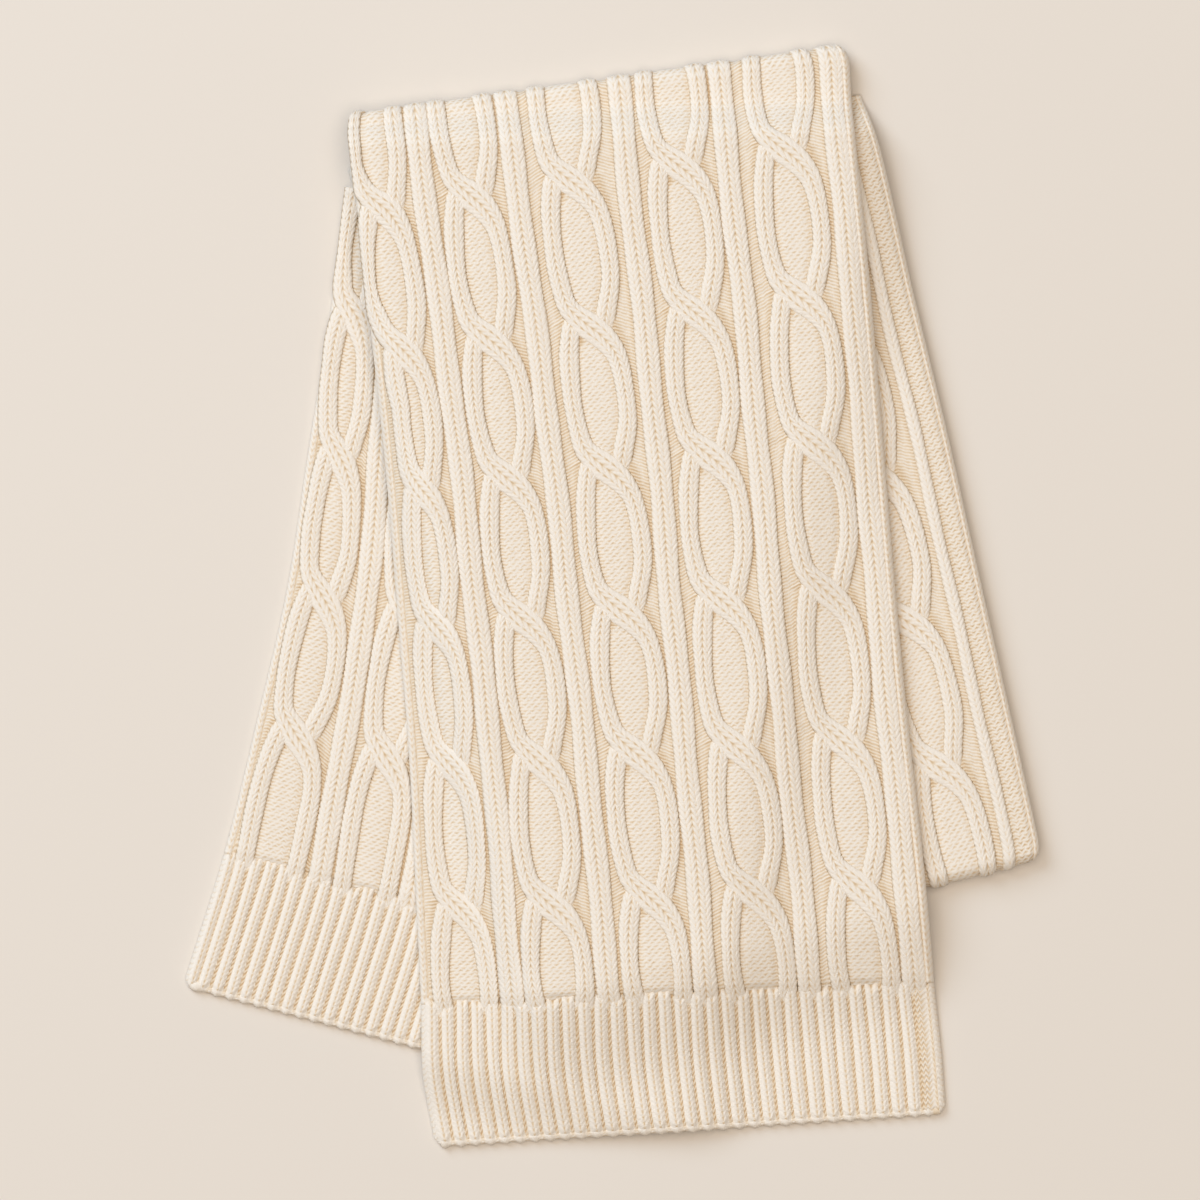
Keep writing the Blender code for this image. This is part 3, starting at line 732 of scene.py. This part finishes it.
# Adds single columns of V stitches with slanting threads in the ditches between them.
def addHem(made, piece, length, seams, randoms):
    quarters = int(round((length + hem["overlap"]) / hem["course"] * 4))
    down = np.linspace(0.0, length + hem["overlap"], quarters + 1)
    whole = widthAt(piece, down)
    low = ease(down / 3.5)[:, None]
    columns = hemColumns(seams, float(whole.mean()))
    shares, offsets, lean, rise = (np.array([column[i] for column in columns]) for i in range(4))
    parts = np.array([column[4] for column in columns])[None, :]
    early = randoms.uniform(0.0, hem["early"], len(seams) + 1)[np.searchsorted(seams, shares)]
    tip = ease((down[-1] - early - down[:, None]) / hem["fade"])
    quarter = (np.arange(quarters + 1) % 4)[:, None]
    firm = (ease(down / 4) * ease((down[-1] - down) / 4))[:, None]
    jitter = randoms.normal(0, hem["uneven"][0], (len(down), len(columns)))
    along = down[:, None] + (hem["lean"] * (lean - 0.45) + jitter) * firm
    swaying = np.array([math.sin(2.1 * i) for i in range(len(seams))])
    sway = swaying[np.clip(np.searchsorted(seams, shares + 1e-6) - 1, 0, len(seams) - 1)][None, :]
    across = shares[None, :] * whole[:, None] + offsets[None, :]
    across = across + sway * np.sin(down / hem["sway"][1])[:, None] * hem["sway"][0]
    inLeg = np.array(stitch["quarterHeights"])[quarter]
    dots = np.array(stitch["quarterDots"])[quarter]
    centre, leg, flank, ditch, plain, strip = (
        parts == part for part in ("centre", "leg", "flank", "ditch", "plain", "strip"))
    height = cloth["wall"] + rise + (
        0.14 * inLeg * (leg + 0.5 * flank) - (0.20 + 0.30 * dots) * centre
        + (ditch | strip) * np.where(quarter < 2, hem["threads"], -hem["threads"]) + ditch * 1.3 * (1 - low)
        + randoms.normal(0, hem["uneven"][1], along.shape)
    ) * (1 - plain)
    thin, thinShare = hem["thinEdge"]
    height = thin + (height - thin) * mix(thinShare, 1.0, ease(down / 4))[:, None]
    height = mix(hem["topHeight"], height, tip)
    # Painted shade: dots down the middle of each rib, between the legs, on the flanks and in the ditches, lighter in
    # the ditches near the last row, and more where a rib runs out into the body
    paintedShade = (
        centre * (0.12 + 0.76 * (dots - 0.15)) + leg * 0.05 * (quarter == 0) + flank * (0.02 + 0.12 * (quarter == 0))
        + ditch * np.where(quarter < 2, 0.42, 0.86) * mix(0.3, 1.0, low) + strip * np.where(quarter < 2, 0.15, 0.6)
    )
    paintedShade = paintedShade + 0.3 * (1 - tip)
    leftEdge, rightEdge = edgeArc(0.0, -1)[:5], edgeArc(0.0, 1)[3:]
    count, underCount = len(down), 9
    sideCount = len(leftEdge)
    sunk = np.where(down > length, 0.4, 0.0)[:, None]
    ringAlong = np.concatenate(
        [np.repeat(down[:, None], sideCount, 1), along, np.repeat(down[:, None], sideCount + underCount, 1)], axis=1)
    ringAcross = np.concatenate(
        [np.repeat([[p[0] for p in leftEdge]], count, 0), np.clip(across, 2.3, whole[:, None] - 2.4),
         whole[:, None] + np.array([p[0] for p in rightEdge]),
         np.linspace(0.96, 0.04, underCount)[None, :] * whole[:, None]], axis=1)
    ringHeight = np.concatenate(
        [np.repeat([[p[1] for p in leftEdge]], count, 0), height, np.repeat([[p[1] for p in rightEdge]], count, 0),
         np.zeros((count, underCount)) + sunk], axis=1)
    near = np.maximum(hem["corner"] - down, 0.0)
    inset = sunk + (hem["corner"] - np.sqrt(hem["corner"] ** 2 - near ** 2))[:, None]
    ringAcross = np.clip(ringAcross, inset, whole[:, None] - inset)
    # the edge columns are painted in shade between their stitches
    side = np.repeat(0.06 + 0.26 * (quarter == 0), sideCount, 1)
    ringHollow = np.concatenate(
        [side, np.broadcast_to(paintedShade, height.shape), side, np.full((count, underCount), ground["underHollow"])],
        axis=1)
    addTube(made, layOn(piece, ringAlong, ringAcross, ringHeight), np.clip(ringHollow, 0, 1))


# The loops that close the last row of a border.
castOff = {
    "radius": 1.9,
    "swell": 0.42,            # one for each rib
    "loops": 0.16,            # two for each rib
    "inset": 3.0,             # where the chain starts beside an edge
    "along": 1.3,             # where its middle lies, along the border and over its underside
    "height": 2.2,
    "flat": 1.15,             # how much wider than high it is
    "steps": 8,               # points round it, and rows for each rib
}


def addChain(made, piece, seams):
    whole = float(widthAt(piece, 0.0))
    end = whole if seams[-1] > 0.9 else seams[-1] * whole
    steps = (len(seams) - 1) * castOff["steps"]
    across = np.linspace(castOff["inset"], end - castOff["inset"], steps + 1)[:, None]
    count = np.interp(across / whole, seams, np.arange(len(seams)))
    swell = castOff["radius"] - castOff["swell"] * np.cos(2 * math.pi * count)
    swell = swell + castOff["loops"] * np.cos(4 * math.pi * count)
    swell = swell * ease((across - 1.0) / 3) ** 0.5 * ease((end - 1.0 - across) / 3) ** 0.5
    turns = (np.arange(castOff["steps"]) / castOff["steps"] * 2 * math.pi)[None, :]
    along = castOff["along"] + swell * np.cos(turns) * castOff["flat"]
    height = castOff["height"] - swell * np.sin(turns)
    # painted shade where the chain passes the ditch between two ribs
    paintedShade = 0.08 + 0.35 * np.clip(np.cos(2 * math.pi * count), 0, 1) ** 3 + 0 * turns
    addTube(made, layOn(piece, along, across + 0 * turns, height), paintedShade)


def linear(code):
    parts = [int(code[i:i + 2], 16) / 255 for i in (1, 3, 5)]
    return [c / 12.92 if c <= 0.04045 else ((c + 0.055) / 1.055) ** 2.4 for c in parts] + [1.0]


def addNode(tree, kind, settings=(), links=()):
    node = tree.nodes.new(kind)
    for name, value in dict(settings).items():
        if isinstance(name, int) or name in node.inputs:
            node.inputs[name].default_value = value
        else:
            setattr(node, name, value)
    for name, source in dict(links).items():
        tree.links.new(source, node.inputs[name])
    return node


wool = {
    "crest": "#ece7df",       # combed lambswool, undyed
    # the next two colours are painted shade: warm for the hollows, darker for the deepest of them
    "paintedShade": "#dfceb4",
    "darkestShade": "#c1a37d",
    "sheen": "#faeedd",
    "crestEnds": 0.05,        # share of depth up to which the crest colour holds
    "fibreSize": 0.9,         # thicker than a real fibre, which is too fine to show
    "fibreShade": 0.30,
    "fibreBump": 0.0006,      # in metres
    "patchSize": 40.0,        # faint cloudy patches
    "patchShade": 0.06,
    "lighter": -0.17,         # brings the mean of both back to the crest
}


# Spun lambswool yarn: matt, with a soft sheen from the fibres that stand off it, and painted warm shade in its
# hollows.
def lambswool(name):
    material = bpy.data.materials.new(name)
    material.use_nodes = True
    tree = material.node_tree
    surface = tree.nodes["Principled BSDF"]
    surface.inputs["Roughness"].default_value = 0.95
    surface.inputs["Specular IOR Level"].default_value = 0.15
    surface.inputs["Sheen Weight"].default_value = 0.25
    surface.inputs["Sheen Roughness"].default_value = 0.5
    surface.inputs["Sheen Tint"].default_value = linear(wool["sheen"])
    place = addNode(tree, "ShaderNodeTexCoord")
    depth = addNode(tree, "ShaderNodeAttribute", {"attribute_name": "paintedShade"})
    patches = addNode(tree, "ShaderNodeTexNoise", {"Scale": 1000 / wool["patchSize"], "Detail": 2.0},
                      {"Vector": place.outputs["Object"]})
    fibres = addNode(tree, "ShaderNodeTexNoise", {"Scale": 1000 / wool["fibreSize"], "Detail": 3.0},
                     {"Vector": place.outputs["Object"]})
    uneven = addNode(tree, "ShaderNodeMath", {"operation": "MULTIPLY_ADD", 1: wool["fibreShade"], 2: wool["lighter"]},
                     {0: fibres.outputs["Fac"]})
    patchy = addNode(tree, "ShaderNodeMath", {"operation": "MULTIPLY_ADD", 1: wool["patchShade"]},
                     {0: patches.outputs["Fac"], 2: uneven.outputs[0]})
    # painted shade, with the fibre grain and patches, picks the colour from the crest to deep warm shade
    total = addNode(tree, "ShaderNodeMath", {"operation": "ADD"}, {0: depth.outputs["Fac"], 1: patchy.outputs[0]})
    ramp = addNode(tree, "ShaderNodeValToRGB", {}, {"Fac": total.outputs[0]})
    ramp.color_ramp.elements[0].color = linear(wool["crest"])
    ramp.color_ramp.elements[0].position = wool["crestEnds"]
    ramp.color_ramp.elements[1].color = linear(wool["darkestShade"])
    ramp.color_ramp.elements[1].position = 1.0
    middle = ramp.color_ramp.elements.new(0.5)
    middle.color = linear(wool["paintedShade"])
    tree.links.new(ramp.outputs["Color"], surface.inputs["Base Color"])
    bump = addNode(tree, "ShaderNodeBump", {"Strength": 0.6, "Distance": wool["fibreBump"]},
                   {"Height": fibres.outputs["Fac"]})
    tree.links.new(bump.outputs["Normal"], surface.inputs["Normal"])
    return material


knitWool = lambswool("undyed lambswool yarn, cabled")
purlWool = lambswool("undyed lambswool yarn, purled")
randoms = np.random.default_rng(5)
print("wool spun")


def tailOf(piece):  # the cloth that turns under at a fold
    return turnOf(piece)[1] + cloth["foldTail"]


def makeGround(name, piece, start, end, shownFrom, shownTo, node):
    made = newBody()
    addGround(made, piece, start, end, shownFrom, shownTo, randoms)
    return finishPiece(made, name, purlWool, node)


def makeLines(name, piece, start, end, *kinds):
    made = newBody()
    for number, side, line in linesOf(piece):
        if piece["lines"][number][0] in kinds:
            for low, high, turn in turnsOf(piece, number, side, start, end):
                addLine(made, piece, number, side, line, low, high, turn, randoms)
    return finishPiece(made, name, knitWool)


frontEnd = front["fold"] + tailOf(front)
frontGround = makeGround("frontGround", front, 68.05, frontEnd, 0.0, 1.0, "front_stretch")
frontCables = makeLines("frontCables", front, 57.5, frontEnd - 2, "cable")
frontRibs = makeLines("frontRibs", front, 57.5, frontEnd - 2, "rib")
print("front stretch knitted")

rightStart = right["fold"] - tailOf(right)
rightGround = makeGround("rightGround", right, rightStart, 388.0, 0.66, 1.0, "right_stretch")
rightLines = makeLines("rightLines", right, rightStart + 2, 387.0, "cable", "narrow rib")
print("right stretch knitted")

leftGround = makeGround("leftGround", left, 68.55, 404.0, 0.0, 0.50, "left_stretch")
leftLines = makeLines("leftLines", left, 58.0, 403.2, "cable", "rib")
print("left stretch knitted")


def makeInner():
    made = newBody()
    topCount, underCount = 18, 12    # points across the upper face and the underside
    rows = np.linspace(0.0, inner["fold"] + tailOf(inner), 34)[:, None]
    whole = widthAt(inner, np.minimum(rows, inner["fold"]))
    shares = np.concatenate([np.linspace(0.0, 1.0, topCount), np.linspace(1.0, 0.0, underCount)])
    top = np.full(topCount, cloth["hidden"])
    top[[0, -1]] = cloth["edge"]
    height = np.concatenate([top, np.zeros(underCount)])[None, :]
    across = shares[None, :] * whole
    across[:, topCount] -= cloth["edge"]
    across[:, -1] += cloth["edge"]
    # an even, light painted shade
    paintedShade = np.full(across.shape, 0.12)
    addTube(made, layOn(inner, rows + 0 * across, across, height + 0 * across), paintedShade)
    return finishPiece(made, "innerStretch", purlWool, "inner_stretch")


innerStretch = makeInner()
print("inner stretch knitted")


def makeBorder(name, piece, length, seams, node):
    made = newBody()
    addHem(made, piece, length, seams, randoms)
    border = finishPiece(made, name + "Hem", knitWool, node)
    made = newBody()
    addChain(made, piece, seams)
    return border, finishPiece(made, name + "CastOff", knitWool)


frontHem, frontCastOff = makeBorder("front", front, 68.0, seamsOf("frontSeams", 32), "front_rib_border")
leftHem, leftCastOff = makeBorder("left", left, 68.5, seamsOf("leftSeams", 20), "left_rib_border")
print("borders knitted")

# Camera, light and floor, in metres.
studio = {
    "camera": (-0.006, -0.0025, 5.0),
    "frameWidth": 0.5964,
    "sensor": 36.0,           # millimetres
    "floorColour": "#dfdad3",
    "floorSize": 4.0,
    "lights": {               # place, diameter, watts, tint
        "windowLight": ((-2.95, 2.89, 3.35), 3.6, 181.0, "#dfefff"),
        "ceilingLight": ((0.0, 0.0, 7.0), 8.0, 378.0, "#fff0e0"),
    },
    "sky": "#fff0e0",
    "skyStrength": 0.21,
}

camera = bpy.data.objects.new("camera", bpy.data.cameras.new("camera"))
bpy.context.scene.collection.objects.link(camera)
camera.location = studio["camera"]
camera.data.sensor_width = studio["sensor"]
camera.data.lens = studio["sensor"] * studio["camera"][2] / studio["frameWidth"]
camera.data.clip_end = 50.0
bpy.context.scene.camera = camera

for name, (place, size, power, tint) in studio["lights"].items():
    light = bpy.data.objects.new(name, bpy.data.lights.new(name, "AREA"))
    bpy.context.scene.collection.objects.link(light)
    light.data.shape = "DISK"
    light.data.size = size
    light.data.energy = power
    light.data.color = linear(tint)[:3]
    light.location = place
    light.rotation_mode = "QUATERNION"
    light.rotation_quaternion = (-Vector(place)).to_track_quat("-Z", "Y")

world = bpy.data.worlds.new("studio")
world.use_nodes = True
world.node_tree.nodes["Background"].inputs["Color"].default_value = linear(studio["sky"])
world.node_tree.nodes["Background"].inputs["Strength"].default_value = studio["skyStrength"]
bpy.context.scene.world = world
bpy.context.scene.view_settings.view_transform = "Standard"

made = bmesh.new()
bmesh.ops.create_grid(made, x_segments=1, y_segments=1, size=studio["floorSize"])
floorMesh = bpy.data.meshes.new("floor")
made.to_mesh(floorMesh)
made.free()
floor = bpy.data.objects.new("floor", floorMesh)
bpy.context.scene.collection.objects.link(floor)
card = bpy.data.materials.new("matt card")   # uncoated, so it only scatters light
card.use_nodes = True
card.node_tree.nodes["Principled BSDF"].inputs["Base Color"].default_value = linear(studio["floorColour"])
card.node_tree.nodes["Principled BSDF"].inputs["Roughness"].default_value = 0.9
floor.data.materials.append(card)
print("studio set up")
